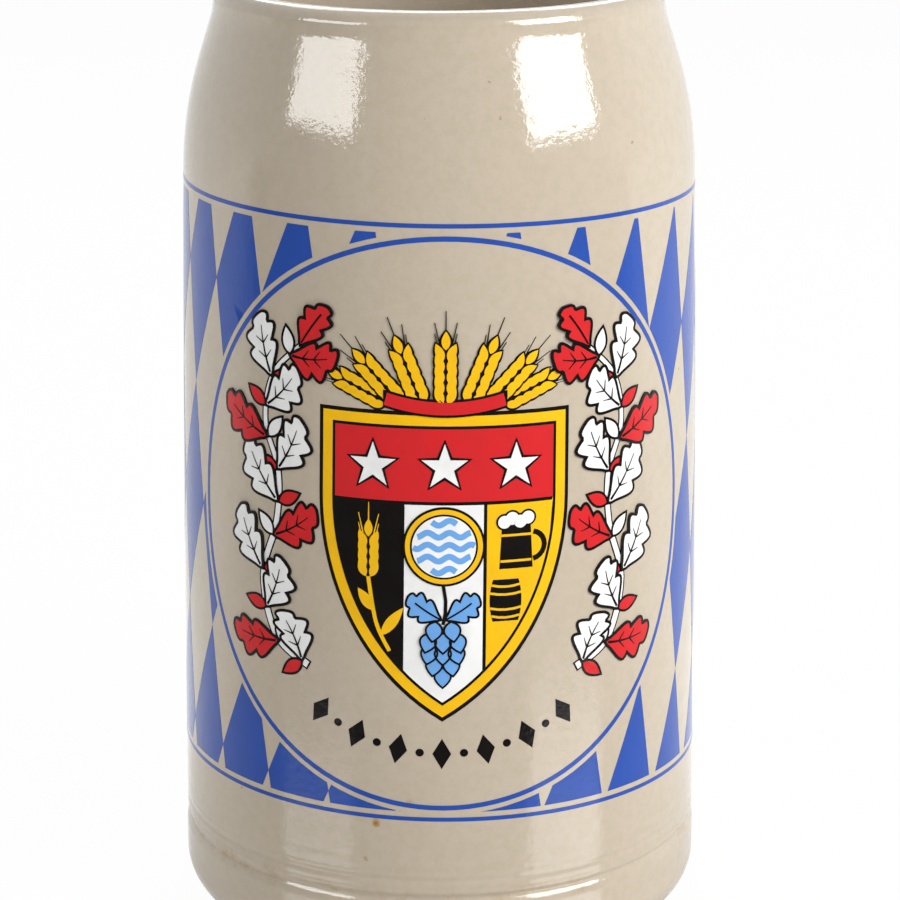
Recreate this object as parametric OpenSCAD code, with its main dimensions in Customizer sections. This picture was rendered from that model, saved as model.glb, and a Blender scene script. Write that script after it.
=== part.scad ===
// Tall stoneware beer mug: a turned body with a drawn-in neck, a strap handle luted on with slip,
// and a fired transfer of lozenges round the wall.
// Millimetres, +Z up. The origin is the centre of the foot ring, on the table.
// The front, opposite the handle, faces -Y.

/* [Body] */
// Height from the table to the crest of the lip
body_h = 200; // [180:1:230]
// Diameter of the foot band, the widest part
foot_band_d = 112.7; // [106:0.1:124]
// How far the wall stands in from the foot band
band_step = 0.2; // [0.1:0.05:1]
// How much the wall's radius shrinks from its foot to the shoulder
wall_taper = 2.275; // [1:0.025:4]
// How far the wall swells past a straight taper
wall_swell = 0.25; // [0.1:0.05:0.6]
// Thickness of the wall
wall_t = 5.8; // [4.5:0.1:7]
// Thickness of the floor
floor_t = 7; // [5:0.5:10]
// Rounding between the floor and the wall inside
inner_corner_r = 12; // [6:1:18]

/* [Foot] */
// Height of the foot band, up to the turned groove
foot_band_h = 17.6; // [15:0.1:22]
// Rounding under the foot band
foot_round = 9; // [6:0.5:10]
// Rounding of the foot band's upper edge
band_crown_r = 2.5; // [1.5:0.1:4]
// How far that rounding turns in
band_crown_angle = 38; // [30:1:45]
// Width of the turned groove over the foot band
groove_w = 1.4; // [1:0.1:2]
// Depth of that groove, from the wall
groove_depth = 0.45; // [0.3:0.05:0.9]
// Height of the fine turned line above the groove
fine_line_rise = 4.4; // [3:0.1:8]
// Depth of the fine turned line
fine_line_depth = 0.15; // [0.1:0.05:0.3]
// Width of the foot ring's unglazed contact
foot_ring_w = 4; // [3:0.5:8]
// Depth of the recess inside the foot ring
foot_recess = 2.5; // [1.5:0.5:4]

/* [Shoulder, neck and lip] */
// Height of the shoulder's start below the lip's crest
shoulder_drop = 38; // [36:1:46]
// Radius of the shoulder's curve
shoulder_r = 84; // [70:1:95]
// How steeply the shoulder draws in
shoulder_angle = 17.5; // [15:0.5:19]
// Radius of the hollow under the lip
neck_r = 14; // [10:1:16]
// How far the neck, under the lip, stands in from the shoulder's start
neck_inset = 6.925; // [6.5:0.025:7.5]
// Rounding of the lip's outer edge
lip_outer_r = 3.2; // [2.5:0.1:3.4]
// Rounding of the lip's inner edge
lip_inner_r = 2; // [1.2:0.1:2.4]

/* [Handle] */
// Handle's upper joint, below the shoulder's start
handle_top_drop = 16; // [12:1:28]
// Handle's lower joint, above the turned groove
handle_foot_rise = 35; // [27:1:43]
// How far the handle's centre line stands out from the wall
handle_reach = 38; // [34:1:46]
// Width of the strap at its middle
strap_w = 23; // [20:1:28]
// Thickness of the strap at its middle
strap_t = 12.5; // [10:0.5:15]
// How much wider and thicker the strap is at its upper end
strap_top_ratio = 1.3; // [1.1:0.05:1.4]
// Thickness of the slip between the strap and the wall
slip_t = 0.8; // [0.6:0.1:1.5]
// How far the slip is smoothed out round the strap
slip_fillet = 4; // [3:0.5:6]

/* [Transfer] */
// Thickness of the fired transfer
print_t = 0.2; // [0.1:0.05:0.3]
// How much the transfer leans, in degrees
print_lean = 0.6; // [0:0.1:2]
// Part of the wall's round that it covers, in degrees
print_round = 310; // [280:1:330]
// Width of the two border lines
line_w = 0.9; // [0.5:0.1:2]
// Upper border line, below the shoulder's start
line_drop = 2.5; // [1:0.1:6]
// Lower border line, above the turned groove
line_rise = 16.8; // [10:0.1:24]
// Bare gap between a border line and the lozenges
line_gap = 1.1; // [0.5:0.1:3]
// Width of the medallion's ring
ring_w = 1.05; // [0.5:0.05:2]
// Bare gap between the ring and the border lines
ring_line_gap = 1.55; // [0.5:0.05:6]
// Bare gap between the ring and the lozenges
ring_gap = 1; // [0.5:0.1:3]
// Width of a lozenge
lozenge_w = 14.87; // [10:0.01:22]
// Height of a lozenge
lozenge_h = 49.73; // [30:0.01:60]
// Bare gap between the tips of two lozenges
lozenge_gap = 0.3; // [0.2:0.05:1]
// Width of the shield
shield_w = 52; // [36:1:60]
// Height of the shield
shield_h = 65; // [45:1:75]
// How far the shield's middle lies below the ring's
shield_drop = 8; // [0:0.5:12]

/* [Hidden] */

$fn = 180;
glaze_colour = "#C4B8A0";
slip_colour = "#B9AC92";
blue_ink = "#1F409F";
yellow_ink = "#F0B90C";

// Angle between the points of the small curves, and the number of steps in the wall's swell
curve_step = 3;
wall_steps = 7;

band_r = foot_band_d / 2;
wall_foot_r = band_r - band_step;
shoulder_start_r = wall_foot_r - wall_taper;
neck_outer_r = shoulder_start_r - neck_inset;
floor_z = foot_recess + floor_t;

// The wall is an arc of a very large radius, from the groove to the shoulder.
wall_z0 = foot_band_h + groove_w;
wall_z1 = body_h - shoulder_drop;
wall_chord = norm([shoulder_start_r - wall_foot_r, wall_z1 - wall_z0]);
wall_arc_r = pow(wall_chord, 2) / (8 * wall_swell) + wall_swell / 2;
wall_lean = atan((wall_foot_r - shoulder_start_r) / (wall_z1 - wall_z0));
wall_half = asin(wall_chord / (2 * wall_arc_r));
wall_top_angle = wall_lean + wall_half;
wall_centre = [shoulder_start_r, wall_z1] - wall_arc_r * [cos(wall_top_angle), sin(wall_top_angle)];

// The shoulder's arc carries on from the wall, and the neck's hollow turns back to upright.
shoulder_centre = [shoulder_start_r, wall_z1] - shoulder_r * [cos(wall_top_angle), sin(wall_top_angle)];
shoulder_end = shoulder_centre + shoulder_r * [cos(shoulder_angle), sin(shoulder_angle)];
hollow_in = neck_r * (1 - cos(shoulder_angle));
slope_run = shoulder_end.x - neck_outer_r - hollow_in;
slope_end = shoulder_end + [-slope_run, slope_run / tan(shoulder_angle)];
neck_centre = slope_end + neck_r * [cos(shoulder_angle), sin(shoulder_angle)];
lip_centre = [neck_outer_r - lip_outer_r, body_h - lip_outer_r];

// Points on an arc from angle a0 to angle a1
function arc(centre, r, a0, a1) =
    let (steps = max(2, ceil(abs(a1 - a0) / curve_step)))
    [for (i = [0:steps]) let (a = a0 + (a1 - a0) * i / steps) centre + r * [cos(a), sin(a)]];

// Outside radius of the wall at a height
function wall_r(z) = wall_centre.x + sqrt(pow(wall_arc_r, 2) - pow(z - wall_centre.y, 2));

// The wall's outline from its foot to its shoulder, set outwards by a distance
function wall_line(out, z0 = wall_z0, z1 = wall_z1) =
    [for (i = [0:wall_steps]) let (z = z0 + (z1 - z0) * i / wall_steps) [wall_r(z) + out, z]];

// Shoulder, neck and lip, from the shoulder's start up: set = 0 outside, set = wall_t inside
function shoulder_line(set) = concat(
    arc(shoulder_centre, shoulder_r - set, wall_top_angle, shoulder_angle),
    arc(neck_centre, neck_r + set, 180 + shoulder_angle, 180)
);

foot_outside = concat(
    arc([band_r - foot_round, foot_round], foot_round, -90, 0),
    arc([band_r - band_crown_r, foot_band_h - band_crown_r * sin(band_crown_angle)], band_crown_r,
        0, band_crown_angle)
);
groove = [
    [wall_foot_r - groove_depth, foot_band_h + groove_w * 0.3],
    [wall_foot_r - groove_depth, foot_band_h + groove_w * 0.6]
];
lip_outside = arc(lip_centre, lip_outer_r, 0, 90);
lip_inside = arc([neck_outer_r - wall_t + lip_inner_r, body_h - lip_inner_r], lip_inner_r, 90, 180);
inner_r = wall_r(floor_z + inner_corner_r) - wall_t;
inside_corner = arc([inner_r - inner_corner_r, floor_z + inner_corner_r], inner_corner_r, 0, -90);
ring_inner_r = band_r - foot_round - foot_ring_w;
recess_slope = foot_recess * 0.8;

function reversed(list) = [for (i = [len(list) - 1:-1:0]) list[i]];

outside = concat(foot_outside, groove, wall_line(0), shoulder_line(0), lip_outside);
inside = concat(
    lip_inside,
    reversed(shoulder_line(wall_t)),
    reversed(wall_line(-wall_t, floor_z + inner_corner_r)),
    inside_corner
);
underside = [
    [0, floor_z],
    [0, foot_recess],
    [ring_inner_r - recess_slope, foot_recess],
    [ring_inner_r, 0]
];

module body()
{
    line_z = foot_band_h + fine_line_rise;
    // the fine turned line's tool is a point that opens twice as wide as it cuts deep
    tool = 6 * fine_line_depth;
    line_r = wall_r(line_z) - fine_line_depth;
    color(glaze_colour)
    difference() {
        rotate_extrude() polygon(concat(outside, inside, underside));
        rotate_extrude() polygon([
            [line_r, line_z],
            [line_r + tool, line_z - 2 * tool],
            [line_r + tool, line_z + 2 * tool]
        ]);
    }
}

// The strap's centre line is two cubic curves in the plane x = 0. Its points are [y, z], and it
// starts and ends inside the wall, so that each end can be fitted to the wall's curve.
handle_top_z = wall_z1 - handle_top_drop;
handle_foot_z = wall_z0 + handle_foot_rise;
buried = 0.72 * strap_t;
strap_out = wall_r(handle_top_z) + handle_reach;
strap_span = handle_top_z - handle_foot_z;
strap_mid_z = handle_foot_z + 0.6 * strap_span;
upper_curve = [
    [wall_r(handle_top_z) - buried, handle_top_z - 0.02 * strap_span],
    [wall_r(handle_top_z) + 0.55 * handle_reach, handle_top_z + 0.14 * strap_span],
    [strap_out, handle_top_z - 0.02 * strap_span],
    [strap_out, strap_mid_z]
];
lower_curve = [
    [strap_out, strap_mid_z],
    [strap_out, strap_mid_z - 0.34 * strap_span],
    [wall_r(handle_foot_z) + 0.62 * handle_reach, handle_foot_z + 0.16 * strap_span],
    [wall_r(handle_foot_z) - buried, handle_foot_z - 0.03 * strap_span]
];
strap_sides = 20;
// Rings at each joint, and from one joint to the other
joint_rings = 6;
middle_rings = 40;
// Where the joint rings end, as a place on the centre line from 0 to 2
joint_ratio = 0.2;

function bezier(p, t) =
    pow(1 - t, 3) * p[0] + 3 * t * pow(1 - t, 2) * p[1] + 3 * t * t * (1 - t) * p[2] + pow(t, 3) * p[3];
function bezier_way(p, t) =
    pow(1 - t, 2) * (p[1] - p[0]) + 2 * t * (1 - t) * (p[2] - p[1]) + t * t * (p[3] - p[2]);

// Place and direction on the centre line, for t from 0 at the upper joint to 2 at the lower one
function strap_at(t) = t < 1 ? bezier(upper_curve, t) : bezier(lower_curve, t - 1);
function strap_way(t) =
    let (way = t < 1 ? bezier_way(upper_curve, t) : bezier_way(lower_curve, t - 1)) way / norm(way);

// The strap narrows from its upper end to its middle, and spreads a little at each joint.
function strap_scale(t) =
    1 + (strap_top_ratio - 1) * pow(max(0, 1 - t), 2) - 0.12 * max(0, t - 1)
    + 0.14 * pow(max(0, 1 - t / 0.3), 2) + 0.2 * pow(max(0, 1 - (2 - t) / 0.3), 2);

// A point on the strap's skin at station t and side i, moved out by grow, or in towards the
// centre line where fill is under 1
roundness_ratio = 0.82;
function soft(v) = sign(v) * pow(abs(v), roundness_ratio);
function strap_point(t, i, grow = 0, fill = 1) =
    let (p = strap_at(t), way = strap_way(t), s = strap_scale(t), a = 360 * i / strap_sides,
         across = fill * (s * strap_w / 2 + grow) * soft(cos(a)),
         out = fill * (s * strap_t / 2 + grow) * soft(sin(a)))
    [across, p.x - out * way.y, p.y + out * way.x];
function strap_ring(t) = [for (i = [0:strap_sides - 1]) strap_point(t, i)];

// The station at which side i reaches the wall, set outwards by a distance, found by halving.
// at = 0 for the upper joint and 2 for the lower one
function seat(at, i, out, grow, fill, near = 0, far = joint_ratio, tries = 22) =
    let (mid = (near + far) / 2, p = strap_point(abs(at - mid), i, grow, fill))
    tries == 0 ? mid
    : norm([p.x, p.y]) > wall_r(p.z) + out ? seat(at, i, out, grow, fill, near, mid, tries - 1)
    : seat(at, i, out, grow, fill, mid, far, tries - 1);

// A ring at a joint: part = 0 follows the wall's curve, and part = 1 is square to the centre line.
function joint_ring(at, part, out, grow_at_wall = 0, fill = 1) =
    [for (i = [0:strap_sides - 1])
        let (start = seat(at, i, out, grow_at_wall, fill), t = start + part * (joint_ratio - start))
        strap_point(abs(at - t), i, grow_at_wall * pow(1 - part, 2), fill)];

// The strap's end face and its first rings, from the wall outwards
function strap_end(at) = concat(
    [for (fill = [0.1, 0.55]) joint_ring(at, 0, slip_t, 0, fill)],
    [for (k = [0:joint_rings - 1]) joint_ring(at, k / joint_rings, slip_t)]
);

// A closed skin over a row of rings
module loft(rings)
{
    sides = len(rings[0]);
    last = len(rings) - 1;
    polyhedron(
        points = [for (ring = rings) each ring],
        faces = concat(
            [[for (i = [0:sides - 1]) i]],
            [for (k = [0:last - 1], i = [0:sides - 1])
                let (j = (i + 1) % sides, a = k * sides, b = a + sides)
                [a + j, a + i, b + i, b + j]],
            [[for (i = [sides - 1:-1:0]) last * sides + i]]
        ),
        convexity = 4
    );
}

module handle()
{
    middle = [for (i = [0:middle_rings])
        strap_ring(joint_ratio + (2 - 2 * joint_ratio) * i / middle_rings)];
    color(glaze_colour)
    loft(concat(strap_end(0), middle, reversed(strap_end(2))));
}

// Slip between one end of the strap and the wall, smoothed into a hollow fillet round it. Its
// skin runs in along the fillet and back along the strap.
module slip_joint(at)
{
    skin = concat(
        [for (k = [0:joint_rings - 1]) joint_ring(at, k / joint_rings, -slip_t, slip_fillet)],
        [strap_ring(abs(at - joint_ratio))],
        reversed(strap_end(at))
    );
    color(slip_colour)
    difference() {
        loft(at == 0 ? skin : reversed(skin));
        rotate_extrude() polygon(concat([[0, wall_z0]], wall_line(0), [[0, wall_z1]]));
    }
}

// The transfer is a film on the wall, printed flat and wrapped round it. Places in the print are
// [u, z]: u is the way round the wall from the front, and z is the height.
line_top_z = wall_z1 - line_drop;
line_foot_z = wall_z0 + line_rise;
ring_z = (line_top_z + line_foot_z) / 2;
ring_r = (line_top_z - line_foot_z - line_w) / 2 - ring_line_gap;
print_r = wall_r(ring_z);
// The medallion sits a little round from the front, and the lozenges' rows and columns slant.
ring_u = 0.9;
row_slant = 5.5;
column_slant = 7.7;
lozenge_shift = [0.32 * lozenge_w, -0.2 * lozenge_h];

// A place in the print as seen square on from the angle "from", in degrees round from the front
function wrapped(p, from = 0) = [wall_r(p.y) * sin(p.x / print_r * 180 / PI - from), p.y];

// The film all over the wall, open at the back
module film()
{
    rotate([0, 0, -90 - print_round / 2])
    rotate_extrude(angle = print_round) polygon(concat(wall_line(0), reversed(wall_line(print_t))));
}

// A slice across the mug that leans with the transfer
module leaning_slice(z0, z1)
{
    translate([0, 0, (z0 + z1) / 2])
    rotate([0, print_lean, 0])
    cylinder(r = foot_band_d, h = z1 - z0, center = true);
}

// A shape of the print, given by its points, as a block that the film cuts to thickness. It
// starts at a distance from the mug's axis and reaches out past the wall.
module block(points, from = 0, start = 0)
{
    rotate([0, 0, from])
    rotate([90, 0, 0])
    translate([0, 0, start])
    linear_extrude(band_r + 2 * print_t - start) polygon([for (p = points) wrapped(p, from)]);
}

module medallion(r)
{
    block(arc([ring_u, ring_z], r, 0, 360 - curve_step));
}

function lozenge_corners(middle) =
    let (shrink = 1 - lozenge_gap / lozenge_w,
         across = shrink * [lozenge_w, -lozenge_w * tan(row_slant)] / 2,
         down = shrink * [-lozenge_h * tan(column_slant), -lozenge_h] / 2)
    [middle - across, middle + down, middle + across, middle - down];

// Whether enough of a lozenge lies between the border lines and outside the medallion
function lozenge_shows(middle, foot, top) =
    let (sliver = lozenge_h / 25, away = [for (p = lozenge_corners(middle)) norm(p - [ring_u, ring_z])])
    middle.y + lozenge_h / 2 > foot + sliver && middle.y - lozenge_h / 2 < top - sliver
    && max(away) > ring_r + ring_gap + sliver;

module lozenge(middle)
{
    half_angle = lozenge_w / 2 / print_r * 180 / PI;
    highest = min(wall_z1, middle.y + lozenge_h / 2);
    start = wall_r(highest) * cos(half_angle) - print_t;
    block(lozenge_corners(middle), middle.x / print_r * 180 / PI, start);
}

module lozenge_transfer()
{
    columns = floor(print_round / 360 * PI * print_r / lozenge_w);
    rows = ceil((line_top_z - line_foot_z) / lozenge_h / 2) + 1;
    foot = line_foot_z + line_w / 2 + line_gap;
    top = line_top_z - line_w / 2 - line_gap;
    color(blue_ink)
    intersection() {
        film();
        leaning_slice(foot, top);
        difference() {
            for (i = [-columns:columns], k = [-rows:rows]) {
                middle = [ring_u, ring_z] + lozenge_shift + [
                    i * lozenge_w + k * lozenge_h * tan(column_slant),
                    k * lozenge_h - i * lozenge_w * tan(row_slant)
                ];
                if (lozenge_shows(middle, foot, top)) lozenge(middle);
            }
            medallion(ring_r + ring_gap);
        }
    }
}

module line_transfer(z)
{
    color(blue_ink)
    intersection() {
        film();
        leaning_slice(z - line_w / 2, z + line_w / 2);
    }
}

module ring_transfer()
{
    color(blue_ink)
    intersection() {
        film();
        difference() {
            medallion(ring_r);
            medallion(ring_r - ring_w);
        }
    }
}

// A shield with upright flanks and two arcs that meet in its point
module shield_transfer()
{
    top = ring_z - shield_drop + shield_h / 2;
    flank = 0.28 * shield_h;
    curved = shield_h - flank;
    half = shield_w / 2;
    flank_r = (pow(half, 2) + pow(curved, 2)) / shield_w;
    turn = asin(curved / flank_r);
    right = arc([ring_u + half - flank_r, top - flank], flank_r, 0, -turn);
    left = [for (p = right) [2 * ring_u - p.x, p.y]];
    color(yellow_ink)
    intersection() {
        film();
        block(concat(
            [[ring_u - half, top], [ring_u + half, top]],
            right,
            [for (i = [len(left) - 2:-1:0]) left[i]]
        ));
    }
}

body();
handle();
slip_joint(0);  // upper_slip_joint
slip_joint(2);  // lower_slip_joint
lozenge_transfer();
line_transfer(line_top_z);  // upper_line_transfer
line_transfer(line_foot_z);  // lower_line_transfer
ring_transfer();
shield_transfer();
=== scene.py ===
"""Tall stoneware beer mug: the glazed body and strap handle, the printed band and the emblem."""

import math

import bmesh
import bpy
from mathutils import Matrix, Vector


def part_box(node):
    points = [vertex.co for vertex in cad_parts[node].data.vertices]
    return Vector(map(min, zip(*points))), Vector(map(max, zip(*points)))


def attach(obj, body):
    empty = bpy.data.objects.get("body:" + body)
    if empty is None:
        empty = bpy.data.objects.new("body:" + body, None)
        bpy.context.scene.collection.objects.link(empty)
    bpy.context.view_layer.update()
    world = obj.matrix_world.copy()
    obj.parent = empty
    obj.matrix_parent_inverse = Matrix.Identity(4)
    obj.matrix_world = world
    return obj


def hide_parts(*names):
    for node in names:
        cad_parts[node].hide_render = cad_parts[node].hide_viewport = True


bl_info = {
    "name": "Stoneware Beer Mug",
    "version": (1, 0, 0),
    "blender": (4, 5, 0),
    "location": "3D View > Sidebar > Beer Mug",
    "description": "Builds a glazed stoneware beer mug with a printed lozenge band and an emblem",
    "category": "Object",
}

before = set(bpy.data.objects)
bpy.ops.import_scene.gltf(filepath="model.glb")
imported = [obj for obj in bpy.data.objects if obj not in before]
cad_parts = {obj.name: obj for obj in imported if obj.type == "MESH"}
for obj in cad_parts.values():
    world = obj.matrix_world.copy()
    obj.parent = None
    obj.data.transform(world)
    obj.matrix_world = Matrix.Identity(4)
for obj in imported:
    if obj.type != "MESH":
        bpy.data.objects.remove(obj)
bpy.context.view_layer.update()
BODY_LOW, BODY_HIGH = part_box("body")

MM = 0.001

# Steps round a full turn of the body, and the angle between points on its small curves
TURN_STEPS = 256
CURVE_STEP = 3.0
# The drawing is cut into patches this wide and high before it is bent round the wall, in mm
PATCH_W = 2.2
PATCH_H = 4.0
# Edges of the strap and its joints turn smooth below this angle
STRAP_SMOOTH = math.radians(60)


# ---------------------------------------------------------------- sizes and colours


class MugSizes(bpy.types.PropertyGroup):
    """Sizes of the turned body, as the frame has them."""

    height: bpy.props.FloatProperty(
        name="Height",
        description="Table to the crest of the lip",
        default=BODY_HIGH.z - BODY_LOW.z,
        unit="LENGTH",
    )
    foot_band_d: bpy.props.FloatProperty(
        name="Foot band diameter",
        description="The widest part of the body",
        default=BODY_HIGH.x - BODY_LOW.x,
        unit="LENGTH",
    )
    wall_foot_d: bpy.props.FloatProperty(
        name="Wall diameter at the foot",
        description="Just above the foot band",
        default=0.1123,
        unit="LENGTH",
    )
    shoulder_d: bpy.props.FloatProperty(
        name="Wall diameter at the shoulder",
        description="Where the wall starts to draw in",
        default=0.10775,
        unit="LENGTH",
    )
    neck_d: bpy.props.FloatProperty(
        name="Neck diameter",
        description="Outside, under the lip",
        default=0.0939,
        unit="LENGTH",
    )
    wall_t: bpy.props.FloatProperty(
        name="Wall thickness",
        description="Thickness of the wall",
        default=0.0058,
        unit="LENGTH",
    )


class MugColours(bpy.types.PropertyGroup):
    """Colours of the ware and of the printing inks."""

    ware: bpy.props.StringProperty(name="Ware", description="Glazed stoneware", default="#C1B4A1")
    ware_dark: bpy.props.StringProperty(
        name="Ware, dark", description="Where the glaze lies thin", default="#BDB09C"
    )
    bare_clay: bpy.props.StringProperty(
        name="Bare clay", description="Unglazed foot ring", default="#B9A484"
    )
    sandy_clay: bpy.props.StringProperty(
        name="Sandy clay", description="Darker grains of the foot ring", default="#A48E6E"
    )
    iron: bpy.props.StringProperty(name="Iron", description="Specks burnt in", default="#7A5A38")
    ochre: bpy.props.StringProperty(
        name="Ochre", description="Stain in the groove", default="#A37B3C"
    )
    blue: bpy.props.StringProperty(name="Blue", description="Cobalt blue ink", default="#2A4FA6")
    black: bpy.props.StringProperty(name="Black", description="Black ink", default="#14100F")
    yellow: bpy.props.StringProperty(
        name="Yellow", description="Gold yellow ink", default="#F6BE10"
    )
    red: bpy.props.StringProperty(name="Red", description="Red ink", default="#D2262A")
    white: bpy.props.StringProperty(name="White", description="White ink", default="#F0F0EE")
    light_blue: bpy.props.StringProperty(
        name="Light blue", description="Light blue ink", default="#6FA8E6"
    )


def sizes():
    return bpy.context.scene.mug_sizes


def colours():
    return bpy.context.scene.mug_colours


# ---------------------------------------------------------------- the body's outline, in mm


def spread(start, end, steps):
    """Evenly spaced numbers from start to end."""
    return [start + (end - start) * i / steps for i in range(steps + 1)]


def arc(centre, radius, start, end, step=CURVE_STEP):
    """Points [r, z] on an arc, with angles in degrees."""
    steps = max(2, math.ceil(abs(end - start) / step))
    points = []
    for turn in spread(start, end, steps):
        angle = math.radians(turn)
        across, up = radius * math.cos(angle), radius * math.sin(angle)
        points.append(Vector((centre[0] + across, centre[1] + up)))
    return points


class Outline:
    """The turned outline: foot band, groove, swelling wall, shoulder, neck and lip, in mm."""

    foot_band_h = 17.6
    foot_round = 9.0
    band_crown_r = 4.2
    band_crown_angle = 35.0
    groove_w = 1.4
    groove_depth = 0.56
    # Soft lines left by turning, over the foot band: height above it, depth and half width
    turned_lines = ((2.6, 0.05, 0.5), (4.4, 0.16, 0.7), (6.3, 0.05, 0.6), (9.2, 0.03, 0.8))
    turned_h = 13.0
    foot_ring_w = 4.0
    foot_recess = 2.5
    floor_t = 7.0
    inner_corner_r = 12.0
    wall_swell = 0.25
    shoulder_drop = 38.0
    shoulder_r = 84.0
    shoulder_angle = 17.5
    neck_r = 14.0
    lip_outer_r = 3.2
    lip_inner_r = 2.0
    wall_steps = 60

    def __init__(self, size):
        self.body_h = size.height / MM
        self.band_r = size.foot_band_d / MM / 2
        self.wall_foot_r = size.wall_foot_d / MM / 2
        self.shoulder_start_r = size.shoulder_d / MM / 2
        self.neck_outer_r = size.neck_d / MM / 2
        self.wall_t = size.wall_t / MM
        self.floor_z = self.foot_recess + self.floor_t
        self.wall_z0 = self.foot_band_h + self.groove_w
        self.wall_z1 = self.body_h - self.shoulder_drop
        self.set_wall()
        self.set_shoulder()

    def set_wall(self):
        """The wall is an arc of a very large radius."""
        drop = self.wall_foot_r - self.shoulder_start_r
        rise = self.wall_z1 - self.wall_z0
        chord = math.hypot(drop, rise)
        self.wall_arc_r = chord**2 / (8 * self.wall_swell) + self.wall_swell / 2
        lean = math.atan2(drop, rise)
        top = lean + math.asin(chord / (2 * self.wall_arc_r))
        self.top_angle = math.degrees(top)
        way = Vector((math.cos(top), math.sin(top)))
        start = Vector((self.shoulder_start_r, self.wall_z1))
        self.wall_centre = start - self.wall_arc_r * way
        self.shoulder_centre = start - self.shoulder_r * way

    def set_shoulder(self):
        angle = math.radians(self.shoulder_angle)
        way = Vector((math.cos(angle), math.sin(angle)))
        shoulder_end = self.shoulder_centre + self.shoulder_r * way
        hollow_in = self.neck_r * (1 - math.cos(angle))
        run = shoulder_end.x - self.neck_outer_r - hollow_in
        slope_end = shoulder_end + Vector((-run, run / math.tan(angle)))
        self.neck_centre = slope_end + self.neck_r * way

    def wall_r(self, z):
        """Outside radius of the wall at a height."""
        return self.wall_centre.x + math.sqrt(self.wall_arc_r**2 - (z - self.wall_centre.y) ** 2)

    def wall_line(self, out, z0, z1):
        return [Vector((self.wall_r(z) + out, z)) for z in spread(z0, z1, self.wall_steps)]

    def shoulder_line(self, set_in):
        """From the shoulder's start up to the lip, set in by a distance."""
        turn = self.shoulder_angle
        return arc(
            self.shoulder_centre, self.shoulder_r - set_in, self.top_angle, turn, 0.5
        ) + arc(self.neck_centre, self.neck_r + set_in, 180 + turn, 180, 1.5)

    def foot(self):
        """Foot ring, foot band, groove and the turned lines over it."""
        crown_r, turn = self.band_crown_r, self.band_crown_angle
        crown_z = self.foot_band_h - crown_r * math.sin(math.radians(turn))
        points = arc((self.band_r - self.foot_round, self.foot_round), self.foot_round, -90, 0)
        points += arc((self.band_r - crown_r, crown_z), crown_r, 0, turn, 2)
        groove_r = self.wall_foot_r - self.groove_depth
        points.append(Vector((groove_r, self.foot_band_h + self.groove_w * 0.3)))
        points.append(Vector((groove_r + 0.05, self.foot_band_h + self.groove_w * 0.6)))
        points.append(Vector((self.wall_foot_r - 0.1, self.wall_z0 - 0.1)))
        z = self.wall_z0 + 0.4
        while z < self.wall_z0 + self.turned_h:
            points.append(Vector((self.wall_r(z) - self.turned_depth(z - self.foot_band_h), z)))
            z += 0.3
        return points, z

    def turned_depth(self, rise):
        return sum(depth * math.exp(-(((rise - z) / w) ** 2)) for z, depth, w in self.turned_lines)

    def outside(self):
        points, wall_from = self.foot()
        points += self.wall_line(0, wall_from, self.wall_z1)[:-1]
        points += self.shoulder_line(0)
        lip_centre = (self.neck_outer_r - self.lip_outer_r, self.body_h - self.lip_outer_r)
        points += arc(lip_centre, self.lip_outer_r, 0, 90, 6)
        return points

    def inside(self):
        lip_r = self.lip_inner_r
        lip_centre = (self.neck_outer_r - self.wall_t + lip_r, self.body_h - lip_r)
        corner_z = self.floor_z + self.inner_corner_r
        corner_r = self.wall_r(corner_z) - self.wall_t
        points = arc(lip_centre, lip_r, 90, 180, 8)
        points += reversed(self.shoulder_line(self.wall_t))
        points += list(reversed(self.wall_line(-self.wall_t, corner_z, self.wall_z1)))[1:]
        points += arc((corner_r - self.inner_corner_r, corner_z), self.inner_corner_r, 0, -90)[1:]
        points.append(Vector((0, self.floor_z)))
        return points

    def underside(self):
        ring_r = self.band_r - self.foot_round - self.foot_ring_w
        slope = self.foot_recess * 0.8
        return [
            Vector((0, self.foot_recess)),
            Vector((ring_r - slope - 0.6, self.foot_recess)),
            Vector((ring_r - slope, self.foot_recess - 0.2)),
            Vector((ring_r - 0.3, 0.2)),
            Vector((ring_r, 0)),
        ]


# ---------------------------------------------------------------- mesh helpers


def finish_piece(name, bm, materials, body="root", smooth_angle=None):
    """Turns a bmesh in metres into a piece that rides on a body."""
    mesh = bpy.data.meshes.new(name)
    if smooth_angle is not None:
        for edge in bm.edges:
            edge.smooth = len(edge.link_faces) == 2 and edge.calc_face_angle(0) < smooth_angle
    for face in bm.faces:
        face.smooth = True
    bm.to_mesh(mesh)
    bm.free()
    piece = bpy.data.objects.new(name, mesh)
    bpy.context.scene.collection.objects.link(piece)
    for material in materials:
        mesh.materials.append(material)
    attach(piece, body)
    return piece


def spin_outline(points):
    """A closed turned skin from an outline that starts and ends on the axis."""
    bm = bmesh.new()
    verts = [bm.verts.new((p.x * MM, 0, p.y * MM)) for p in points]
    edges = [bm.edges.new(pair) for pair in zip(verts, verts[1:])]
    bmesh.ops.spin(
        bm,
        geom=verts + edges,
        axis=(0, 0, 1),
        cent=(0, 0, 0),
        dvec=(0, 0, 0),
        angle=math.tau,
        steps=TURN_STEPS,
        use_merge=True,
    )
    bmesh.ops.remove_doubles(bm, verts=bm.verts, dist=1e-6)
    bmesh.ops.recalc_face_normals(bm, faces=bm.faces)
    return bm


# ---------------------------------------------------------------- materials


def linear(hex_colour):
    """sRGB hex to linear RGBA."""
    channels = [int(hex_colour[i : i + 2], 16) / 255 for i in (1, 3, 5)]
    rgb = [c / 12.92 if c <= 0.04045 else ((c + 0.055) / 1.055) ** 2.4 for c in channels]
    return (*rgb, 1.0)


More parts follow.
